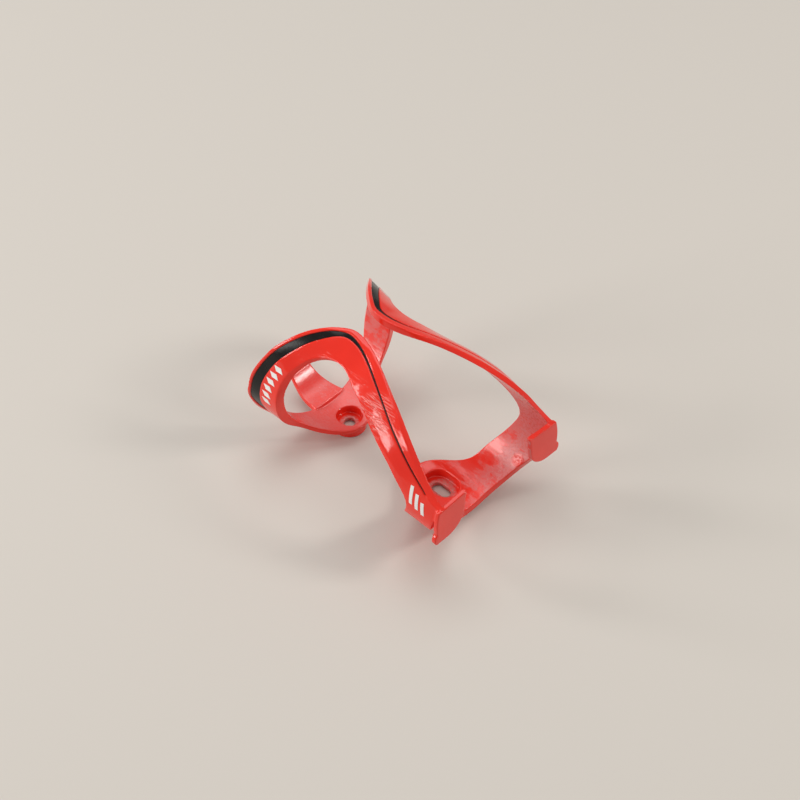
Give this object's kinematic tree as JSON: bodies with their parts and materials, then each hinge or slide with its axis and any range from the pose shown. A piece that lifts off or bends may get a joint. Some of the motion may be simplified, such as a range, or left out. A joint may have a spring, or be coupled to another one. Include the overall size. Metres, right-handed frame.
{
  "type": "water bottle cage",
  "caption": "Moulded ribbon cage that holds a round drinks bottle on a bicycle tube, with two wrap-round arms, dark trim strips, bottle stops and slotted bolt mounting.",
  "frame": {"origin": "midway between the two mounting holes, on the plane of the boss faces that meet the bicycle tube", "axes": "+X across the cage, +Y along the bottle from its bottom to its neck, +Z away from the bicycle tube, through the bottle axis"},
  "size_m": [0.087, 0.1378, 0.0839],
  "materials": {
    "body_plastic": "gloss, lightly scuffed",
    "trim_rubber": "satin",
    "print_film": "satin print"
  },
  "bodies": {
    "root": {"cage_body": "body_plastic", "left_trim_strip": "trim_rubber", "right_trim_strip": "trim_rubber", "left_wing_graphic": "print_film", "right_wing_graphic": "print_film", "left_arm_graphic": "print_film", "right_arm_graphic": "print_film"}
  },
  "joints": []
}
